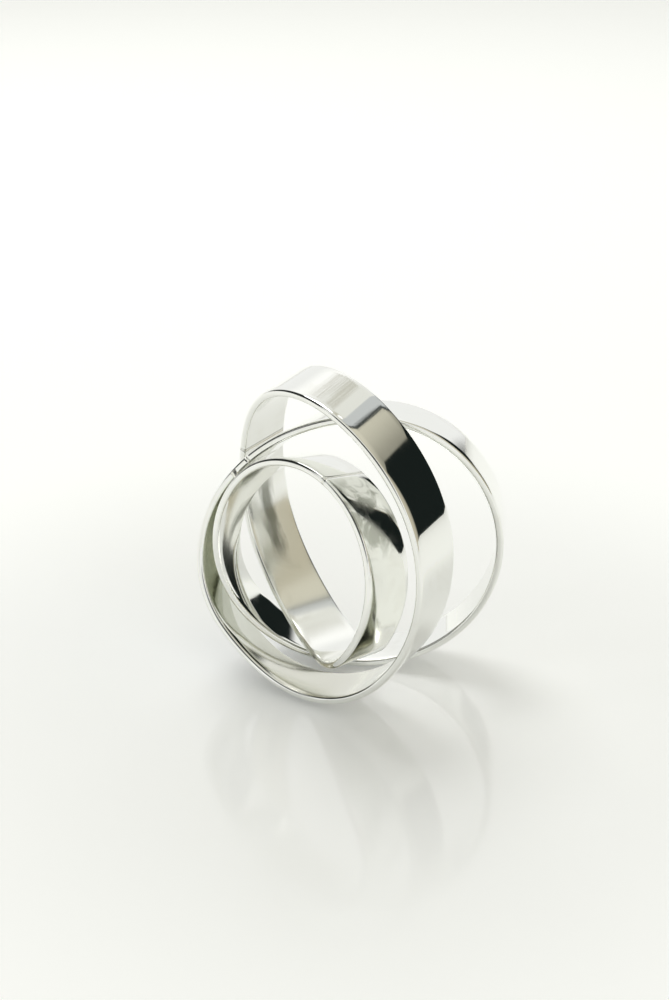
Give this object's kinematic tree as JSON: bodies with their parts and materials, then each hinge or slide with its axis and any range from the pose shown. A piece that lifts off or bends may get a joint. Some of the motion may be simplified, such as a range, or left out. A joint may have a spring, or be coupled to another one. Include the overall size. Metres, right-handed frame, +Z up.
{
  "type": "finger ring",
  "caption": "Wide silver finger ring wound from one flat strip into a small finger loop and two larger tilted hoops, closed on itself and soldered where the turns touch.",
  "frame": {"origin": "on the table under the middle of the standing ring's box", "axes": "+Z up with the ring standing on its hoops; the finger goes through the finger loop roughly along Y, from the front at -Y to the rear at +Y; +X is to the right seen from the front"},
  "size_m": [0.0242, 0.0186, 0.0274],
  "materials": {
    "silver": "polished",
    "solder": "satin"
  },
  "bodies": {
    "root": {"front_strip": "silver", "back_strip": "silver", "finger_strip": "silver", "seam_left": "solder", "seam_loop": "solder", "seam_rear": "solder", "solder_left": "solder", "solder_side": "solder"}
  },
  "joints": []
}
